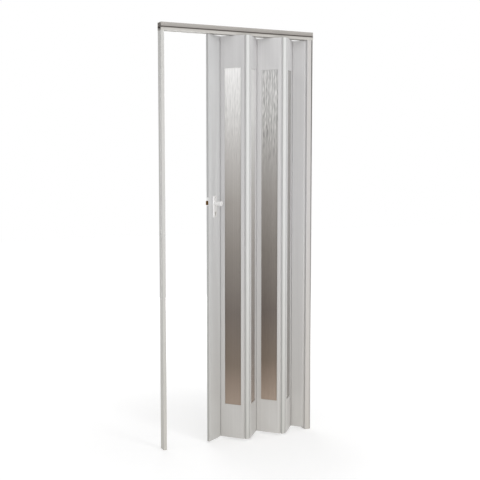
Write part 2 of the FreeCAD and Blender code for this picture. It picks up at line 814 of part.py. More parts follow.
def door_knob(label, length):
    """Turned knob on its own axis, tip to the front: a neck that flares to a wider rim."""
    body = new_body(label)
    profile = new_sketch(body, "XY_Plane", -d.knob_drop)
    root = -(plate_face + d.knob_gap)
    tip = root - length
    shelf = tip + d.knob_rim
    waist = shelf + d.knob_flare
    add_outline(profile, [
        (0, tip), (d.knob_tip_radius, tip), (d.knob_tip_radius, shelf), (d.knob_neck_radius, waist),
        (d.knob_neck_radius, root), (0, root)])
    add_revolution(body, profile)
    socket = new_sketch(body, "XZ_Plane", -root)
    half = d.spindle_side / 2 + d.spindle_play
    add_rectangle(socket, -half, half, -d.knob_drop - half, half - d.knob_drop)
    add_pocket(body, socket, d.spindle_reach, reverse=True)
    return body


def key_cylinder():
    """Cylinder from the front plate to the rear one, and the plug that the key turns in it."""
    end = plate_face + d.cylinder_rise
    length = end + half_thick - d.plug_play
    shell = new_body("key_cylinder")
    ring = new_sketch(shell, "XZ_Plane", end)
    add_circle(ring, lock_x, key_level, d.cylinder_radius)
    add_circle(ring, lock_x, key_level, d.plug_radius + d.plug_clearance)
    add_pad(shell, ring, length, reverse=True)

    plug = new_body("key_plug")
    core = new_sketch(plug, "XZ_Plane", end)
    add_circle(core, lock_x, key_level, d.plug_radius)
    add_pad(plug, core, length, reverse=True)
    half_width = d.key_slot_width / 2
    half_height = d.key_slot_height / 2
    slot = new_sketch(plug, "XZ_Plane", end)
    add_rectangle(slot, lock_x - half_width, lock_x + half_width,
                  key_level - half_height, key_level + half_height)
    add_pocket(plug, slot, d.key_slot_depth)
    return [shell, plug]


# Strike side: a box profile screwed to the jamb, with a clip-in plate round the slot for the latch bolt
def strike_side():
    back = -half_door
    face = back + d.strike_depth
    web = face - d.jamb_wall
    centre = -d.strike_slot_shift
    half_slot_width = d.strike_slot_width / 2
    half_slot_height = d.strike_slot_height / 2
    level = bolt_level
    collar = d.strike_collar

    profile = new_body("strike_profile")
    section = new_sketch(profile, "XY_Plane", -d.door_height)
    add_rectangle(section, back, face, -half_jamb, half_jamb)
    inside = half_jamb - d.jamb_wall
    add_rectangle(section, back + d.jamb_wall, web, -inside, inside)
    add_pad(profile, section, jamb_height)
    cuts = new_sketch(profile, "YZ_Plane", face)
    seat = collar + d.plug_play
    add_rectangle(cuts, centre - half_slot_width - seat, centre + half_slot_width + seat,
                  level - half_slot_height - seat, level + half_slot_height + seat)
    fixing_levels = (-d.jamb_screw_top, -(d.jamb_screw_top + d.jamb_screw_span))
    half_window = d.driver_window / 2
    for height in fixing_levels:
        add_rectangle(cuts, -half_window, half_window, height - half_window, height + half_window)
    add_pocket(profile, cuts, 2 * d.jamb_wall)
    fixings = new_sketch(profile, "YZ_Plane", back + 2 * d.jamb_wall)
    for height in fixing_levels:
        add_circle(fixings, 0, height, d.screw_hole_radius)
    add_pocket(profile, fixings, 3 * d.jamb_wall)

    plate = new_body("strike_plate")
    half_width = d.strike_plate_width / 2
    half_height = d.strike_plate_height / 2
    for spread_y, spread_z, length, reverse in (
            (half_width, half_height, d.strike_plate_thick, False),
            (half_slot_width + collar, half_slot_height + collar, 2 * d.jamb_wall, True)):
        ring = new_sketch(plate, "YZ_Plane", face)
        add_rectangle(ring, centre - spread_y, centre + spread_y, level - spread_z, level + spread_z)
        add_rectangle(ring, centre - half_slot_width, centre + half_slot_width,
                      level - half_slot_height, level + half_slot_height)
        add_pad(plate, ring, length, reverse=reverse)


# The whole door, from the rail and the jambs to the lock
for build in (head_rail, wall_side, strike_side, tail_board):
    build()
for number in (1, 2, 3, 4, 5):
    hinge_link(number, at_front=number in (2, 4))
for number in (1, 2, 3, 4):
    glazed_panel(number, mirrored=number in (2, 4))

lead_place = (link_x[1], valley_y, lead_turn)
lead_pieces = [
    lead_post(), lead_foot(), *lock_case(), lock_faceplate(), latch_bolt(), lock_hub(), knob_spindle(),
    lock_plate("front_plate", -1), lock_plate("rear_plate", 1), plate_screws(), *key_cylinder()]
for piece in lead_pieces:
    place(piece, *lead_place)
hang("lead", lead_cell_left + d.plug_play, -d.lead_hanger_end, -d.lead_pin, *lead_place)
lead_angle = math.radians(lead_turn)
knob_x = link_x[1] + lock_x.number * math.cos(lead_angle)
knob_y = valley_y + lock_x.number * math.sin(lead_angle)
place(door_knob("front_knob", d.front_knob_length), knob_x, knob_y, lead_turn)
place(door_knob("rear_knob", d.rear_knob_length), knob_x, knob_y, lead_turn + 180)

# Every feature has to be sound before a file is written
doc.recompute()
for item in doc.Objects:
    if "Invalid" in item.State or "Error" in item.State:
        raise RuntimeError(f"{item.Name} did not build: {item.State}")
bodies = [item for item in doc.Objects if item.TypeId == "PartDesign::Body"]
for body in bodies:
    if body.Shape.isNull() or not body.Shape.isValid():
        raise RuntimeError(f"{body.Label} has no valid shape")
os.makedirs("parts", exist_ok=True)
for body in bodies:
    body.Shape.exportStep(f"parts/{body.Label}.step")
    print(body.Label, len(body.Shape.Solids), round(body.Shape.Volume))
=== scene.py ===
import json
import math

import bmesh
import bpy
from mathutils import Color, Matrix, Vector, noise

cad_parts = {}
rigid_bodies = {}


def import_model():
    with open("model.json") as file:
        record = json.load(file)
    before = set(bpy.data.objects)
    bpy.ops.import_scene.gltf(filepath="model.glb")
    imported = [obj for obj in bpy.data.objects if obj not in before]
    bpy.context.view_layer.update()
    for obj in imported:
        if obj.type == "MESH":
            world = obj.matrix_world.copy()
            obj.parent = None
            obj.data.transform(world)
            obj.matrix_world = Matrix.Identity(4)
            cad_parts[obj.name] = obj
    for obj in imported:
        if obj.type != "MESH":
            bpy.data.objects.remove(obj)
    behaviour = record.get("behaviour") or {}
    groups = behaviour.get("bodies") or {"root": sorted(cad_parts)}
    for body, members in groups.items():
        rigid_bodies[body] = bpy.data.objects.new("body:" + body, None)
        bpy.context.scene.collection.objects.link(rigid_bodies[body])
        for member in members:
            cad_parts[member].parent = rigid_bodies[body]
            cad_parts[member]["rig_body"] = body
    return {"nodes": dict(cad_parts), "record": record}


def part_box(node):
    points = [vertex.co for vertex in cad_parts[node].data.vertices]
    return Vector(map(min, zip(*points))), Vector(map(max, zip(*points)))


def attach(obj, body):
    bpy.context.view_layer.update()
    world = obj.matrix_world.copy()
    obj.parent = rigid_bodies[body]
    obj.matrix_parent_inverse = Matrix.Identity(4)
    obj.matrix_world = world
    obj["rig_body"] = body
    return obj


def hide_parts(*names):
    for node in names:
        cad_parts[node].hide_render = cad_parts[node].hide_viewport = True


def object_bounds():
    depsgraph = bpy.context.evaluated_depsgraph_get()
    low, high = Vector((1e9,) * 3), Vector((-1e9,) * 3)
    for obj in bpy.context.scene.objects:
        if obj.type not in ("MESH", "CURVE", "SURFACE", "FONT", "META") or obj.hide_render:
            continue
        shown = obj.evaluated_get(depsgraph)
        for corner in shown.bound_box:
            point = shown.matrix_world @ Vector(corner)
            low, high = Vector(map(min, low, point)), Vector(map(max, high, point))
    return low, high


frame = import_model()
cad_low, cad_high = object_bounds()


# Head rail
# One rigid plastic extrusion, screwed up under the lintel. Its front has a coved band, a shadow groove
# and a cream lower band; the cove's shade is painted in as taupe and the groove's shadow as a dark
# line. The gliders run on the two lips of its slot.
MERGE_DISTANCE = 2e-6
FLAT_ANGLE = math.radians(1)
CORNER_ANGLE = math.radians(35)
SMOOTH_ANGLE = math.radians(24)
EASE_SEGMENTS = 2


def merged_copy(node):
    """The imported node's mesh with its facets joined into whole faces."""
    form = bmesh.new()
    form.from_mesh(frame["nodes"][node].data)
    bmesh.ops.remove_doubles(form, verts=form.verts, dist=MERGE_DISTANCE)
    bmesh.ops.dissolve_limit(form, angle_limit=FLAT_ANGLE, verts=form.verts, edges=form.edges)
    return form


def round_over(form, width, segments):
    """Rounds over the form's sharp outer edges."""
    corners = [edge for edge in form.edges
               if edge.is_manifold and edge.is_convex and edge.calc_face_angle() > CORNER_ANGLE]
    bmesh.ops.bevel(form, geom=corners, offset=width, offset_type="OFFSET", segments=segments, profile=0.5,
                    affect="EDGES", material=-1, clamp_overlap=True)


def eased_form(node, corner):
    """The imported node's mesh with its outer corners rounded over."""
    form = merged_copy(node)
    round_over(form, corner, EASE_SEGMENTS)
    return form


def show(form, node, way, finish):
    """A piece made from the form, named for the way it was made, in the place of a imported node."""
    name = f"{node}_{way}"
    bmesh.ops.recalc_face_normals(form, faces=form.faces)
    mesh = bpy.data.meshes.new(name)
    form.to_mesh(mesh)
    form.free()
    mesh.shade_smooth()
    mesh.set_sharp_from_angle(angle=SMOOTH_ANGLE)
    mesh.materials.append(finish)
    piece = bpy.data.objects.new(name, mesh)
    bpy.context.scene.collection.objects.link(piece)
    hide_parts(node)
    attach(piece, frame["nodes"][node]["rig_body"])


def eased(node, corner, finish):
    """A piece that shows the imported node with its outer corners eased."""
    show(eased_form(node, corner), node, "eased", finish)


def tone(red, green, blue):
    """A display colour, 0 to 255 a channel, as linear light."""
    shown = Color((red / 255, green / 255, blue / 255))
    return (*shown.from_srgb_to_scene_linear(), 1.0)


def new_material(name, specular=0.5):
    """A material, its Principled shader and its node tree."""
    material = bpy.data.materials.new(name)
    material.use_nodes = True
    shader = material.node_tree.nodes["Principled BSDF"]
    shader.inputs["Specular IOR Level"].default_value = specular
    return material, shader, material.node_tree


def feed(tree, socket, item):
    """Links an output to a socket, or sets the socket to a plain value."""
    if isinstance(item, bpy.types.NodeSocket):
        tree.links.new(item, socket)
    else:
        socket.default_value = item


def object_coordinates(tree):
    """A point's place in the object's own frame."""
    return tree.nodes.new("ShaderNodeTexCoord").outputs["Object"]


def object_place(tree, axis):
    """One object coordinate, X, Y or Z."""
    split = tree.nodes.new("ShaderNodeSeparateXYZ")
    tree.links.new(object_coordinates(tree), split.inputs["Vector"])
    return split.outputs[axis]


def stretched_noise(tree, scale, detail):
    """Noise with its own number of patches per metre along X, Y and Z."""
    mapping = tree.nodes.new("ShaderNodeMapping")
    tree.links.new(object_coordinates(tree), mapping.inputs["Vector"])
    feed(tree, mapping.inputs["Scale"], scale)
    texture = tree.nodes.new("ShaderNodeTexNoise")
    tree.links.new(mapping.outputs["Vector"], texture.inputs["Vector"])
    texture.inputs["Scale"].default_value = 1.0
    feed(tree, texture.inputs["Detail"], detail)
    return texture.outputs["Fac"]


def ranged(tree, value, low, high, to_low, to_high):
    """A value carried from one range to another and held at its ends."""
    node = tree.nodes.new("ShaderNodeMapRange")
    tree.links.new(value, node.inputs["Value"])
    feed(tree, node.inputs["From Min"], low)
    feed(tree, node.inputs["From Max"], high)
    feed(tree, node.inputs["To Min"], to_low)
    feed(tree, node.inputs["To Max"], to_high)
    return node.outputs["Result"]


# Most of the noise lies between these levels
NOISE_LOW = 0.3
NOISE_HIGH = 0.7


def spread(tree, texture, low, high):
    """Noise carried to run from low to high."""
    return ranged(tree, texture, NOISE_LOW, NOISE_HIGH, low, high)


def scaled(tree, colour, level):
    """A colour made lighter or darker by a value."""
    node = tree.nodes.new("ShaderNodeVectorMath")
    node.operation = "SCALE"
    tree.links.new(colour, node.inputs[0])
    tree.links.new(level, node.inputs["Scale"])
    return node.outputs["Vector"]


def ramped(tree, value, stops):
    """The colour at a value along the stops, each a place from 0 to 1 and its colour."""
    node = tree.nodes.new("ShaderNodeValToRGB")
    elements = node.color_ramp.elements
    while len(elements) < len(stops):
        elements.new(1.0)
    for element, (place, colour) in zip(elements, stops):
        element.position = place
        element.color = colour
    tree.links.new(value, node.inputs["Fac"])
    return node.outputs["Color"]


GRAIN_STRENGTH = 0.08
GRAIN_DEPTH = 0.0003


def grained(tree, shader, height):
    """Presses a fine grain into the shader's normal."""
    bump = tree.nodes.new("ShaderNodeBump")
    bump.inputs["Strength"].default_value = GRAIN_STRENGTH
    bump.inputs["Distance"].default_value = GRAIN_DEPTH
    tree.links.new(height, bump.inputs["Height"])
    tree.links.new(bump.outputs["Normal"], shader.inputs["Normal"])


# Draw lines and grain of extruded plastic: patches per metre across and along the extrusion
LINES_ACROSS = 240.0
LINES_ALONG = 1.3
LINES_DETAIL = 3.0
GRAIN_ACROSS = 900.0
GRAIN_ALONG = 8.0
GRAIN_DETAIL = 2.0
PLASTIC_SPECULAR = 0.35

RAIL_STREAKS = 0.03
RAIL_GLOSSIEST = 0.36
RAIL_DULLEST = 0.48
RAIL_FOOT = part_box("head_rail")[0].z
RAIL_GROOVE_TOP = -0.019
RAIL_GROOVE_LOW = -0.0235
RAIL_GROOVE_SHADOW = tone(76, 70, 66)
RAIL_GROOVE_BLUR = 0.001
CREAM_SHADE = 0.003
COVE_SHADE_EDGE = 0.0004
COVE_TOP = -0.004
# Heights and tones up the front of the rail: the cream band, painted shade darkening into the
# painted shadow of the groove, then painted taupe shade on the cove
RAIL_SHADE_BANDS = [
    (RAIL_FOOT, tone(198, 195, 190)),
    (RAIL_GROOVE_LOW - CREAM_SHADE, tone(188, 185, 180)),
    (RAIL_GROOVE_LOW - RAIL_GROOVE_BLUR, tone(150, 145, 139)),
    (RAIL_GROOVE_LOW, RAIL_GROOVE_SHADOW),
    (RAIL_GROOVE_TOP, RAIL_GROOVE_SHADOW),
    (RAIL_GROOVE_TOP + COVE_SHADE_EDGE, tone(156, 151, 146)),
    (COVE_TOP, tone(171, 167, 162)),
]


def rail_plastic():
    """Cream band, painted shadow in the groove and painted taupe shade on the cove, told apart by height,
    with draw lines along the rail.
    """
    material, shader, tree = new_material("rail_plastic", specular=PLASTIC_SPECULAR)
    up_front = ranged(tree, object_place(tree, "Z"), RAIL_FOOT, 0.0, 0.0, 1.0)
    bands = ramped(tree, up_front, [(1 - height / RAIL_FOOT, colour) for height, colour in RAIL_SHADE_BANDS])
    lines = stretched_noise(tree, (LINES_ALONG, LINES_ACROSS, LINES_ACROSS), LINES_DETAIL)
    drawn = scaled(tree, bands, spread(tree, lines, 1 - RAIL_STREAKS, 1 + RAIL_STREAKS))
    tree.links.new(drawn, shader.inputs["Base Color"])
    tree.links.new(spread(tree, lines, RAIL_GLOSSIEST, RAIL_DULLEST), shader.inputs["Roughness"])
    grained(tree, shader, stretched_noise(tree, (GRAIN_ALONG, GRAIN_ACROSS, GRAIN_ACROSS), GRAIN_DETAIL))
    return material


eased("head_rail", corner=0.0006, finish=rail_plastic())


# Wall side
# A plastic channel screwed to the wall and the hinge strip that snaps into it; the strip's
# round socket carries the bead of the tail board. Shade is painted into the rebate along the wall.
COLOUR = "NodeSocketColor"
VALUE = "NodeSocketFloat"


def new_group(name, inputs, outputs):
    """An empty shader group with the named sockets and their kinds."""
    group = bpy.data.node_groups.new(name, "ShaderNodeTree")
    for label, kind in inputs.items():
        group.interface.new_socket(name=label, in_out="INPUT", socket_type=kind)
    for label, kind in outputs.items():
        group.interface.new_socket(name=label, in_out="OUTPUT", socket_type=kind)
    return group, group.nodes.new("NodeGroupInput"), group.nodes.new("NodeGroupOutput")


def placed(tree, group, values):
    """A node of a shared group with its own values, by socket name."""
    node = tree.nodes.new("ShaderNodeGroup")
    node.node_tree = group
    for label, value in values.items():
        node.inputs[label].default_value = value
    return node


def arithmetic(tree, operation, first, second):
    """A math node of two inputs, each an output or a number."""
    node = tree.nodes.new("ShaderNodeMath")
    node.operation = operation
    feed(tree, node.inputs[0], first)
    feed(tree, node.inputs[1], second)
    return node.outputs["Value"]


NOISE_MIDDLE = 0.5


def about_zero(tree, texture):
    """Noise shifted to lie about 0."""
    return arithmetic(tree, "SUBTRACT", texture, NOISE_MIDDLE)


# Colour sockets of a mix node, found by place because their names repeat
MIX_FACTOR = 0
MIX_FIRST = 6
MIX_SECOND = 7
MIX_RESULT = 2


def mixed(tree, factor, first, second, blend="MIX"):
    """Two colours, each an output or a plain one, mixed by a factor."""
    node = tree.nodes.new("ShaderNodeMix")
    node.data_type = "RGBA"
    node.blend_type = blend
    feed(tree, node.inputs[MIX_FACTOR], factor)
    feed(tree, node.inputs[MIX_FIRST], first)
    feed(tree, node.inputs[MIX_SECOND], second)
    return node.outputs[MIX_RESULT]


STREAKS_ACROSS = 30.0
STREAKS_ALONG = 0.6
STREAKS_DETAIL = 2.0
# A tone that makes the skin darker and a little warmer towards the floor, between these heights
FLOORWARD_TONE = (0.97, 0.955, 0.915, 1.0)
FLOORWARD_TOP = -0.9
FLOORWARD_LOW = -2.04
PLASTIC_GLOSSIEST = 0.36
PLASTIC_DULLEST = 0.46


def extruded_plastic_group():
    """Plain colour to the skin of an extrusion: draw lines along Z, darker and warmer towards the floor."""
    group, given, result = new_group(
        "extruded_plastic",
        inputs={"Tone": COLOUR, "Streaks": VALUE},
        outputs={"Colour": COLOUR, "Roughness": VALUE, "Height": VALUE})
    fine = stretched_noise(group, (LINES_ACROSS, LINES_ACROSS, LINES_ALONG), LINES_DETAIL)
    broad = stretched_noise(group, (STREAKS_ACROSS, STREAKS_ACROSS, STREAKS_ALONG), STREAKS_DETAIL)
    both = arithmetic(group, "ADD", about_zero(group, fine), about_zero(group, broad))
    drawn = arithmetic(group, "ADD", arithmetic(group, "MULTIPLY", both, given.outputs["Streaks"]), 1.0)
    toward_floor = ranged(group, object_place(group, "Z"), FLOORWARD_LOW, FLOORWARD_TOP, 1.0, 0.0)
    darkened = mixed(group, toward_floor, given.outputs["Tone"], FLOORWARD_TONE, blend="MULTIPLY")
    grain = stretched_noise(group, (GRAIN_ACROSS, GRAIN_ACROSS, GRAIN_ALONG), GRAIN_DETAIL)
    group.links.new(scaled(group, darkened, drawn), result.inputs["Colour"])
    group.links.new(spread(group, fine, PLASTIC_GLOSSIEST, PLASTIC_DULLEST), result.inputs["Roughness"])
    group.links.new(grain, result.inputs["Height"])
    return group


EXTRUDED_PLASTIC = extruded_plastic_group()


def extruded(name, colour, streaks=0.13, shade=None):
    """Satin plastic as it comes off the die; shade, if given, makes a value that darkens it by place."""
    material, shader, tree = new_material(name, specular=PLASTIC_SPECULAR)
    skin = placed(tree, EXTRUDED_PLASTIC, {"Tone": colour, "Streaks": streaks})
    skin_colour = scaled(tree, skin.outputs["Colour"], shade(tree)) if shade else skin.outputs["Colour"]
    tree.links.new(skin_colour, shader.inputs["Base Color"])
    tree.links.new(skin.outputs["Roughness"], shader.inputs["Roughness"])
    grained(tree, shader, skin.outputs["Height"])
    return material


REBATE_WIDTH = 0.008
REBATE_BLUR = 0.0004
# Distances from the wall between which the painted shade fades out
REBATE_SHADE_FADES = 0.0009
REBATE_SHADE_ENDS = 0.0003
REBATE_SHADE_TOP = -0.1
REBATE_SHADE_LOW = -1.7
REBATE_SHADE_AT_TOP = 0.85
REBATE_SHADE_AT_LOW = 0.3


def rebate_painted_shade(tree):
    """Painted shade in the channel's rebate, darkest near the rail, and none on the face against the wall."""
    wall = cad_high.x
    step = wall - REBATE_WIDTH
    across = object_place(tree, "X")
    past_step = ranged(tree, across, step - REBATE_BLUR, step + REBATE_BLUR, 0.0, 1.0)
    off_wall = ranged(tree, across, wall - REBATE_SHADE_FADES, wall - REBATE_SHADE_ENDS, 1.0, 0.0)
    inside = arithmetic(tree, "MULTIPLY", past_step, off_wall)
    depth = ranged(tree, object_place(tree, "Z"), REBATE_SHADE_LOW, REBATE_SHADE_TOP, REBATE_SHADE_AT_LOW, REBATE_SHADE_AT_TOP)
    return arithmetic(tree, "SUBTRACT", 1.0, arithmetic(tree, "MULTIPLY", inside, depth))


EXTRUSION_CORNER = 0.0005
WHITE_PLASTIC = extruded("white_plastic", tone(210, 209, 209))
WALL_PLASTIC = extruded("wall_plastic", tone(202, 199, 197), shade=rebate_painted_shade)
eased("wall_channel", corner=EXTRUSION_CORNER, finish=WALL_PLASTIC)
eased("wall_hinge_strip", corner=EXTRUSION_CORNER, finish=WHITE_PLASTIC)


# Strike side
# A plastic box profile screwed to the other jamb, with a pressed plate of zinc-plated steel
# whose collar clips into the slot that the latch bolt enters.
def uneven_gloss_group():
    """Roughness that wanders between two levels in small patches."""
    group, given, result = new_group(
        "uneven_gloss",
        inputs={"Patches": VALUE, "Detail": VALUE, "Glossiest": VALUE, "Dullest": VALUE},
        outputs={"Roughness": VALUE})
    patches = stretched_noise(group, given.outputs["Patches"], given.outputs["Detail"])
    gloss = spread(group, patches, given.outputs["Glossiest"], given.outputs["Dullest"])
    group.links.new(gloss, result.inputs["Roughness"])
    return group


UNEVEN_GLOSS = uneven_gloss_group()


def make_uneven(tree, shader, gloss):
    """Gives the shader an uneven gloss of these values."""
    uneven = placed(tree, UNEVEN_GLOSS, gloss)
    tree.links.new(uneven.outputs["Roughness"], shader.inputs["Roughness"])


def plated(name, colour, gloss):
    """Metal plating of one colour, with the values of its uneven gloss."""
    material, shader, tree = new_material(name)
    shader.inputs["Base Color"].default_value = colour
    shader.inputs["Metallic"].default_value = 1.0
    make_uneven(tree, shader, gloss)
    return material


ZINC_GLOSS = {"Patches": 700.0, "Detail": 3.0, "Glossiest": 0.28, "Dullest": 0.42}
ZINC_STEEL = plated("zinc_steel", tone(188, 190, 192), ZINC_GLOSS)
eased("strike_profile", corner=0.0006, finish=extruded("strike_plastic", tone(200, 199, 196)))
eased("strike_plate", corner=0.0003, finish=ZINC_STEEL)


# Tail board
# A narrow plain hollow board of the same plastic, with a bead along each edge: one in the wall
# strip, one in the last hinge link.
eased("tail_board", corner=EXTRUSION_CORNER, finish=WHITE_PLASTIC)


# Hinge links
# Five crowned strips with a bead socket at each edge, cut from one extrusion. They join the boards,
# two at the front folds and three at the back, and look a little whiter than the boards.
LINK_CORNER = 0.0003
CROWN_CORE = 0.0065
CROWN_EDGE = 0.0095
# Levels of the painted shade in the grooves and at the foot, and the heights it runs between
LINK_GROOVE_SHADE = 0.66
LINK_SHADE_FROM = -0.5
LINK_SHADE_TO = -1.9
LINK_FOOT_SHADE = 0.85


def marked(tree, name):
    """A value that is marked on the mesh's vertices."""
    attribute = tree.nodes.new("ShaderNodeAttribute")
    attribute.attribute_name = name
    return attribute.outputs["Fac"]


def shade_beside_crown(tree):
    """Painted shade in the two grooves beside a link's crown, and a little painted shade towards the floor.
    """
    groove = ranged(tree, marked(tree, "groove"), 0.0, 1.0, 1.0, LINK_GROOVE_SHADE)
    down = ranged(tree, object_place(tree, "Z"), LINK_SHADE_TO, LINK_SHADE_FROM, LINK_FOOT_SHADE, 1.0)
    return arithmetic(tree, "MULTIPLY", groove, down)


def grooved_link(number, finish):
    """A link with its corners rounded over and its grooves marked for painted shade."""
    node = f"hinge_link_{number}"
    form = eased_form(node, LINK_CORNER)
    middle = (max(vert.co.x for vert in form.verts) + min(vert.co.x for vert in form.verts)) / 2
    groove = form.verts.layers.float.new("groove")
    for vert in form.verts:
        share = (abs(vert.co.x - middle) - CROWN_CORE) / (CROWN_EDGE - CROWN_CORE)
        vert[groove] = min(max(share, 0.0), 1.0)
    show(form, node, "grooved", finish)


LINK_PLASTIC = extruded("link_plastic", tone(219, 219, 218), streaks=0.03, shade=shade_beside_crown)
for number in (1, 2, 3, 4, 5):
    grooved_link(number, LINK_PLASTIC)


# Panel boards
# Four hollow extruded boards, joined by the links, each with one tall window sawn out of it and
# a rebate behind for the pane. Each has a grey of its own, a little apart from its neighbours':
# the light and shade on each fold, painted into the colour.
BOARD_PAINTED_LIGHT_GREY = {1: 202, 2: 206, 3: 211, 4: 204}
for number, grey in BOARD_PAINTED_LIGHT_GREY.items():
    board_plastic_painted_light = extruded(f"board_plastic_painted_light_{number}", tone(grey, grey - 1, grey - 1))
    eased(f"panel_{number}_board", corner=EXTRUSION_CORNER, finish=board_plastic_painted_light)


# Panes
# Cast sheets of smoky plastic, wavy on both faces like running water, dropped into the rebates
# from behind. The light through them is painted into their colour: pale at the top and dark further
# down, and nearly even in the fourth, with painted pale and dark strokes along the waves.
UP = Vector((0, 0, 1))
IN_LINE_COSINE = 0.99
PANE_CUTS_UP = 419
PANE_CUTS_ACROSS = 71
PANE_RIM = 0.0042
PANE_FADE = 0.003
WAVE_HEIGHT = 0.00018
RIPPLES_PER_METRE = 72
LEAN_IN_RIPPLES = 0.8
MEAN_STRENGTH = 0.4
STRENGTH_SWING = 1.2
STRAY_HEIGHT = 0.5
# Noise in the relief: patches per metre across and up, and a shift of the seed
LEAN_NOISE = (60, 13, 0)
STRENGTH_NOISE = (120, 38, 7)
STRAY_NOISE = (170, 24, 19)
SEED_PER_PANE = 31.0
SEED_OF_OTHER_FACE = 3.0


def relief_noise(across, up, seed, kind):
    """One noise of the relief at a place on the pane."""
    per_across, per_up, shift = kind
    return noise.noise(Vector((across * per_across, up * per_up, seed + shift)))


def wave(across, up, seed):
    """Level of the cast relief, about -1 to 1: upright ripples that lean and break into short strokes."""
    lean = relief_noise(across, up, seed, LEAN_NOISE)
    strength = MEAN_STRENGTH + STRENGTH_SWING * relief_noise(across, up, seed, STRENGTH_NOISE)
    stray = relief_noise(across, up, seed, STRAY_NOISE)
    ripple = math.sin(math.tau * (across * RIPPLES_PER_METRE + LEAN_IN_RIPPLES * lean))
    return strength * ripple + STRAY_HEIGHT * stray


def half_size(form, middle, direction):
    """How far the form reaches from its middle along a direction."""
    return max(abs((vert.co - middle).dot(direction)) for vert in form.verts)


def cut_along(form, direction, cuts):
    """Cuts every edge that runs along the direction into even lengths, and the faces with them."""
    run = [edge for edge in form.edges
           if abs((edge.verts[1].co - edge.verts[0].co).normalized().dot(direction)) > IN_LINE_COSINE]
    bmesh.ops.subdivide_edges(form, edges=run, cuts=cuts, use_grid_fill=True)


def wavy_pane(number, finish):
    """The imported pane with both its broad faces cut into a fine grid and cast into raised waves."""
    node = f"panel_{number}_pane"
    form = merged_copy(node)
    form.normal_update()
    normal = max(form.faces, key=lambda face: face.calc_area()).normal.copy()
    across = normal.cross(UP)
    middle = sum((vert.co for vert in form.verts), Vector()) / len(form.verts)
    half_width = half_size(form, middle, across)
    half_height = half_size(form, middle, UP)
    half_thick = half_size(form, middle, normal)
    cut_along(form, UP, PANE_CUTS_UP)
    cut_along(form, across, PANE_CUTS_ACROSS)
    crest = form.verts.layers.float.new("crest")
    for vert in form.verts:
        place = vert.co - middle
        side = place.dot(normal)
        if abs(side) < half_thick - MERGE_DISTANCE:
            continue
        across_at = place.dot(across)
        inside_rim = min(half_width - abs(across_at), half_height - abs(place.z)) - PANE_RIM
        share = min(max(inside_rim / PANE_FADE, 0.0), 1.0)
        seed = SEED_PER_PANE * number + (SEED_OF_OTHER_FACE if side > 0 else 0.0)
        level = share * wave(across_at, place.z, seed)
        vert[crest] = level
        vert.co += normal * math.copysign(abs(level) * WAVE_HEIGHT, side)
    show(form, node, "wavy", finish)


LIGHT_TOP = -0.197
LIGHT_LOW = -1.870
# Tones of the painted light, from the foot of a pane to its head, by share of the height
PAINTED_LIGHT_TONES = [
    (0.0, tone(158, 142, 129)),
    (0.12, tone(122, 110, 99)),
    (0.28, tone(112, 104, 98)),
    (0.46, tone(136, 130, 124)),
    (0.61, tone(162, 157, 152)),
    (0.75, tone(190, 187, 184)),
    (0.89, tone(222, 221, 219)),
    (1.0, tone(244, 243, 242)),
]
EVEN_TONE = tone(149, 147, 144)
CREST_REACH = 0.7
STROKES_TOP = -0.48
STROKES_LOW = -0.72
STROKES_BELOW = 0.1
SMOKE_LINES = (230.0, 230.0, 0.8)
SMOKE_LINES_DETAIL = 2.0
SMOKE_LINES_CONTRAST = 0.22


def smoky_light_group():
    """A pane's painted light by height, with pale and dark strokes along the waves, strongest near the top.
    """
    group, given, result = new_group(
        "smoky_light",
        inputs={"Drop": VALUE, "Head": VALUE, "Foot": VALUE, "Even": VALUE, "Strokes": VALUE},
        outputs={"Colour": COLOUR})
    height = object_place(group, "Z")
    dropped = arithmetic(group, "ADD", height, given.outputs["Drop"])
    painted_light = ramped(group, ranged(group, dropped, LIGHT_LOW, LIGHT_TOP, 0.0, 1.0), PAINTED_LIGHT_TONES)
    evened = mixed(group, given.outputs["Even"], painted_light, EVEN_TONE)
    crest = ranged(group, marked(group, "crest"), -CREST_REACH, CREST_REACH, -1.0, 1.0)
    upper = ranged(group, height, STROKES_LOW, STROKES_TOP, STROKES_BELOW, 1.0)
    contrast = arithmetic(group, "MULTIPLY", upper, given.outputs["Strokes"])
    strokes = arithmetic(group, "MULTIPLY", crest, contrast)
    drawn = about_zero(group, stretched_noise(group, SMOKE_LINES, SMOKE_LINES_DETAIL))
    lines = arithmetic(group, "MULTIPLY", drawn, SMOKE_LINES_CONTRAST)
    pattern = arithmetic(group, "ADD", arithmetic(group, "ADD", strokes, lines), 1.0)
    shade = ranged(group, height, LIGHT_LOW, LIGHT_TOP, given.outputs["Foot"], given.outputs["Head"])
    level = arithmetic(group, "MULTIPLY", pattern, shade)
    group.links.new(scaled(group, evened, level), result.inputs["Colour"])
    return group


SMOKY_LIGHT = smoky_light_group()


def smoky_plastic(name, light):
    """Glossy cast sheet, with the light through it painted in by these values."""
    material, shader, tree = new_material(name, specular=0.15)
    shader.inputs["Roughness"].default_value = 0.22
    painted_light = placed(tree, SMOKY_LIGHT, light)
    tree.links.new(painted_light.outputs["Colour"], shader.inputs["Base Color"])
    return material


# How much further down the light reaches, its level at head and foot, the share of even grey,
# and how strong the strokes are
PANE_LIGHT = {
    1: {"Drop": 0.0, "Head": 1.0, "Foot": 1.05, "Even": 0.0, "Strokes": 0.1},
    2: {"Drop": 0.15, "Head": 0.92, "Foot": 1.42, "Even": 0.1, "Strokes": 0.1},
    3: {"Drop": 0.0, "Head": 0.66, "Foot": 1.24, "Even": 0.0, "Strokes": 0.34},
    4: {"Drop": 0.0, "Head": 0.93, "Foot": 0.93, "Even": 0.85, "Strokes": 0.06},
}
for number, light in PANE_LIGHT.items():
    wavy_pane(number, smoky_plastic(f"smoky_pane_{number}", light))


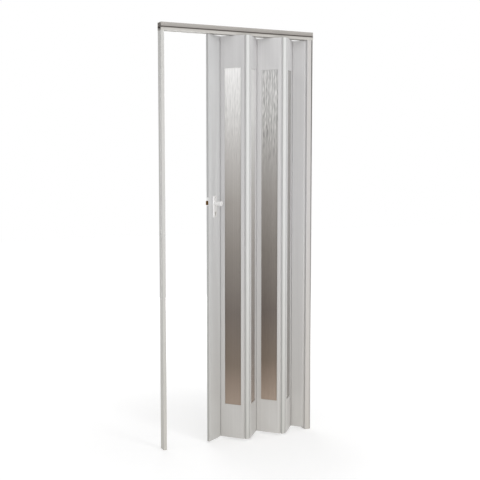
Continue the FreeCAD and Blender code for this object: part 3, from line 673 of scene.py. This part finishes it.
# Glazing beads
# Flat frames cut from white plastic strip. They are pressed into the rebates behind the panes
# and hold them there.
for number in (1, 2, 3, 4):
    eased(f"panel_{number}_glazing_bead", corner=0.0006, finish=WHITE_PLASTIC)


# Hangers and gliders
# Nylon blocks plugged into the heads of panels 2 and 4 and of the lead post, and the gliders
# on square stems whose discs slide and turn in the rail.
def clouded_tone_group():
    """Two tones that drift into each other in patches."""
    group, given, result = new_group(
        "clouded_tone",
        inputs={"Patches": VALUE, "Detail": VALUE, "Dark": COLOUR, "Light": COLOUR},
        outputs={"Colour": COLOUR})
    clouds = stretched_noise(group, given.outputs["Patches"], given.outputs["Detail"])
    drifting = mixed(group, clouds, given.outputs["Dark"], given.outputs["Light"])
    group.links.new(drifting, result.inputs["Colour"])
    return group


CLOUDED_TONE = clouded_tone_group()


def make_clouded(tree, shader, clouds):
    """Gives the shader a clouded colour of these values."""
    clouded = placed(tree, CLOUDED_TONE, clouds)
    tree.links.new(clouded.outputs["Colour"], shader.inputs["Base Color"])


NYLON_CLOUDS = {"Patches": 60.0, "Detail": 2.0, "Dark": tone(205, 203, 196), "Light": tone(220, 219, 213)}


def milky_nylon():
    """Natural nylon, milky and a little waxy."""
    material, shader, tree = new_material("nylon", specular=0.4)
    shader.inputs["Roughness"].default_value = 0.38
    shader.inputs["Subsurface Weight"].default_value = 0.1
    shader.inputs["Subsurface Radius"].default_value = (0.002, 0.002, 0.0015)
    make_clouded(tree, shader, NYLON_CLOUDS)
    return material


NYLON = milky_nylon()
for owner in ("panel_2", "panel_4", "lead"):
    eased(f"{owner}_hanger", corner=0.0004, finish=NYLON)
    eased(f"{owner}_glider", corner=0.0005, finish=NYLON)


# Lead post
# The closing board: one hollow extrusion with its free edge rounded, sawn out for the lock, and
# closed at the foot by a moulded plug.
JOINTS = {joint["name"]: joint for joint in frame["record"]["behaviour"]["joints"]}
INTO_POST = Vector(JOINTS["latch_slide"]["axis"])
CLOSING_EDGE = min(vert.co.dot(INTO_POST) for vert in frame["nodes"]["lead_post"].data.vertices)
# Depths into the post over which the painted shade on the closing edge fades, and its level
EDGE_SHADE_DEPTH = 0.0006
EDGE_SHADE_ENDS = 0.0022
EDGE_SHADE_LEVEL = 0.74


def measured(tree, operation, vector):
    """The distance or dot product of the object coordinates and a plain vector."""
    node = tree.nodes.new("ShaderNodeVectorMath")
    node.operation = operation
    tree.links.new(object_coordinates(tree), node.inputs[0])
    node.inputs[1].default_value = vector
    return node.outputs["Value"]


def closing_edge_painted_shade(tree):
    """Painted shade: a little grey on the face that meets the strike."""
    inwards = measured(tree, "DOT_PRODUCT", INTO_POST)
    return ranged(tree, inwards, CLOSING_EDGE + EDGE_SHADE_DEPTH, CLOSING_EDGE + EDGE_SHADE_ENDS, EDGE_SHADE_LEVEL, 1.0)


LEAD_PLASTIC = extruded("lead_plastic", tone(208, 208, 208), shade=closing_edge_painted_shade)
eased("lead_post", corner=0.0004, finish=LEAD_PLASTIC)
eased("lead_foot_plug", corner=0.0005, finish=LEAD_PLASTIC)


# Lock case
# A tray of zinc-plated sheet with a flat cover, slid into the post behind a white coated faceplate;
# the hub inside turns with the square steel spindle and draws the bolt back.
COAT_GLOSS = {"Patches": 160.0, "Detail": 3.0, "Glossiest": 0.16, "Dullest": 0.28}


def white_coat():
    """Glossy white stove coating, faintly uneven."""
    material, shader, tree = new_material("white_coat")
    shader.inputs["Base Color"].default_value = tone(236, 235, 234)
    shader.inputs["Coat Weight"].default_value = 0.3
    shader.inputs["Coat Roughness"].default_value = 0.1
    make_uneven(tree, shader, COAT_GLOSS)
    return material


WHITE_COAT = white_coat()
for node in ("lock_case", "lock_cover", "lock_hub", "knob_spindle"):
    eased(node, corner=0.0002, finish=ZINC_STEEL)
eased("lock_faceplate", corner=0.0004, finish=WHITE_COAT)


# Latch bolt
# A brass bolt with a sloped nose, sprung out through the faceplate. Its tail hooks over the hub's
# finger, so that a turn of the knobs draws it back.
BRASS_CLOUDS = {"Patches": 220.0, "Detail": 3.0, "Dark": tone(74, 52, 22), "Light": tone(90, 64, 28)}


def worn_brass():
    """Brass gone brown, in brighter and darker patches."""
    material, shader, tree = new_material("worn_brass")
    shader.inputs["Metallic"].default_value = 1.0
    shader.inputs["Roughness"].default_value = 0.35
    make_clouded(tree, shader, BRASS_CLOUDS)
    return material


eased("latch_bolt", corner=0.0005, finish=worn_brass())


# Plates and their screws
# A coated cover plate on each face of the post, drawn together by two machine screws with heads
# at the front, which have a satin nickel plating.
NICKEL_GLOSS = {"Patches": 500.0, "Detail": 2.0, "Glossiest": 0.36, "Dullest": 0.5}
NICKEL = plated("pale_nickel", tone(215, 214, 210), NICKEL_GLOSS)
for node in ("front_plate", "rear_plate"):
    eased(node, corner=0.0005, finish=WHITE_COAT)
eased("plate_screws", corner=0.0004, finish=NICKEL)


# Knobs
# Two coated knobs on one square spindle, a longer one at the front. Each swells from a neck and
# ends in a rounded rim with a flat tip.
KNOB_NECK = 0.0100
KNOB_SWELL = 0.0118
KNOB_RIM_LENGTH = 0.008
KNOB_ROUND = 0.0016
ROUND_SEGMENTS = 4
SWELL_STEPS = 8
SPIN_STEPS = 64


def knob_profile(root, tip, rim):
    """Radius and reach of a knob's outline, from the middle of its root to the middle of its tip."""
    shelf = tip - math.copysign(KNOB_RIM_LENGTH, tip)
    profile = [(0.0, root)]
    for step in range(SWELL_STEPS + 1):
        share = step / SWELL_STEPS
        radius = KNOB_NECK + (KNOB_SWELL - KNOB_NECK) * math.sqrt(share)
        profile.append((radius, root + (shelf - root) * share))
    return profile + [(rim, shelf), (rim, tip), (0.0, tip)]


def turned_knob(node, finish):
    """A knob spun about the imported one's axis, with its length and its widest radius."""
    axis = Vector(JOINTS["knob_turn"]["axis"])
    centre = Vector(JOINTS["knob_turn"]["pos_m"])
    places = [vert.co - centre for vert in frame["nodes"][node].data.vertices]
    reaches = sorted((place.dot(axis) for place in places), key=abs)
    rim = max((place - axis * place.dot(axis)).length for place in places)
    profile = knob_profile(reaches[0], reaches[-1], rim)
    form = bmesh.new()
    verts = [form.verts.new(centre + axis * reach + UP * radius) for radius, reach in profile]
    edges = [form.edges.new(pair) for pair in zip(verts, verts[1:])]
    bmesh.ops.spin(form, geom=verts + edges, cent=centre, axis=axis, angle=math.tau, steps=SPIN_STEPS,
                   use_merge=True)
    bmesh.ops.remove_doubles(form, verts=form.verts, dist=MERGE_DISTANCE)
    bmesh.ops.recalc_face_normals(form, faces=form.faces)
    round_over(form, KNOB_ROUND, ROUND_SEGMENTS)
    show(form, node, "turned", finish)


for node in ("front_knob", "rear_knob"):
    turned_knob(node, WHITE_COAT)


# Key cylinder
# A cylinder held in the front plate, with a round plug that the key turns. Both are plated
# like the screws.
for node in ("key_cylinder", "key_plug"):
    eased(node, corner=0.0003, finish=NICKEL)


# Stage
# A plain pale floor, a white surround and six soft lamps round the door. The floor has no edge in view,
# and it is lifted less near the door than far from it, so that the door's shadow shows.
FLOOR_REACH = 12.0
FLOOR_TONE = (0.82, 0.82, 0.82, 1.0)
WHITE = (1.0, 1.0, 1.0, 1.0)
LIFT_NEAR = 0.34
LIFT_FAR = 0.58
LIFT_STARTS = 0.6
LIFT_ENDS = 3.0
SURROUND_LIGHT = 0.54
SURROUND_SEEN = 1.0


def seen_direct(tree):
    """1 for what the camera sees, straight on or by way of metal and glass, and 0 for scattered light."""
    path = tree.nodes.new("ShaderNodeLightPath")
    mirrored = arithmetic(tree, "MAXIMUM", path.outputs["Is Glossy Ray"], path.outputs["Is Transmission Ray"])
    return arithmetic(tree, "MAXIMUM", path.outputs["Is Camera Ray"], mirrored)


def pale_floor():
    """A matt pale floor that is lifted towards white where it is seen."""
    material, shader, tree = new_material("pale_floor", specular=0.0)
    shader.inputs["Base Color"].default_value = FLOOR_TONE
    shader.inputs["Roughness"].default_value = 0.9
    shader.inputs["Emission Color"].default_value = WHITE
    from_door = measured(tree, "DISTANCE", (0.0, 0.0, cad_low.z))
    lift = ranged(tree, from_door, LIFT_STARTS, LIFT_ENDS, LIFT_NEAR, LIFT_FAR)
    tree.links.new(arithmetic(tree, "MULTIPLY", seen_direct(tree), lift), shader.inputs["Emission Strength"])
    return material


def flat_floor():
    """One wide square at the height of the door's foot."""
    form = bmesh.new()
    bmesh.ops.create_grid(form, x_segments=1, y_segments=1, size=FLOOR_REACH)
    bmesh.ops.translate(form, verts=form.verts, vec=(0, 0, cad_low.z))
    mesh = bpy.data.meshes.new("floor")
    form.to_mesh(mesh)
    form.free()
    mesh.materials.append(pale_floor())
    floor = bpy.data.objects.new("floor", mesh)
    bpy.context.scene.collection.objects.link(floor)
    return floor


flat_floor()

world = bpy.data.worlds.new("surround")
bpy.context.scene.world = world
world.use_nodes = True
sky = world.node_tree.nodes["Background"]
sky.inputs["Color"].default_value = WHITE
sky_level = ranged(world.node_tree, seen_direct(world.node_tree), 0.0, 1.0, SURROUND_LIGHT, SURROUND_SEEN)
world.node_tree.links.new(sky_level, sky.inputs["Strength"])


def soft_light(name, place, target, size, power):
    """A square studio panel aimed at a point."""
    lamp = bpy.data.lights.new(name, "AREA")
    lamp.shape = "SQUARE"
    lamp.size = size
    lamp.energy = power
    item = bpy.data.objects.new(name, lamp)
    item.location = place
    item.rotation_euler = (Vector(target) - Vector(place)).to_track_quat("-Z", "Y").to_euler()
    bpy.context.scene.collection.objects.link(item)


soft_light("front_light", place=(-0.2, -4.6, -1.0), target=(0.0, 0.0, -1.1), size=3.0, power=80.0)
soft_light("left_light", place=(-4.6, -0.4, -1.1), target=(0.0, 0.0, -1.1), size=3.0, power=22.0)
soft_light("right_light", place=(4.6, -0.4, -1.1), target=(0.0, 0.0, -1.1), size=3.0, power=42.0)
soft_light("key_light", place=(0.9, -3.4, 1.7), target=(0.0, 0.0, -1.0), size=0.9, power=22.0)
soft_light("fill_light", place=(-2.6, -3.0, -1.2), target=(0.0, 0.0, -1.2), size=2.4, power=12.0)
soft_light("back_light", place=(0.6, 4.6, -0.6), target=(0.0, 0.0, -1.0), size=3.0, power=84.0)


# Camera
# Fitted to the corners of the door: from the left, about 1.4 m above the floor and aimed a little down,
# with no shift and no depth of field.
CAMERA_PLACE = (-1.937, -4.002, -0.659)
CAMERA_LENS = 67.13
SENSOR_WIDTH = 36.0
AIMED_DOWN = math.radians(4.903)
AIMED_RIGHT = math.radians(25.945)

camera = bpy.data.cameras.new("camera")
camera.sensor_width = SENSOR_WIDTH
camera.lens = CAMERA_LENS
viewer = bpy.data.objects.new("camera", camera)
viewer.location = CAMERA_PLACE
viewer.rotation_euler = (math.radians(90) - AIMED_DOWN, 0.0, -AIMED_RIGHT)
bpy.context.scene.collection.objects.link(viewer)
bpy.context.scene.camera = viewer
bpy.context.scene.view_settings.view_transform = "Standard"
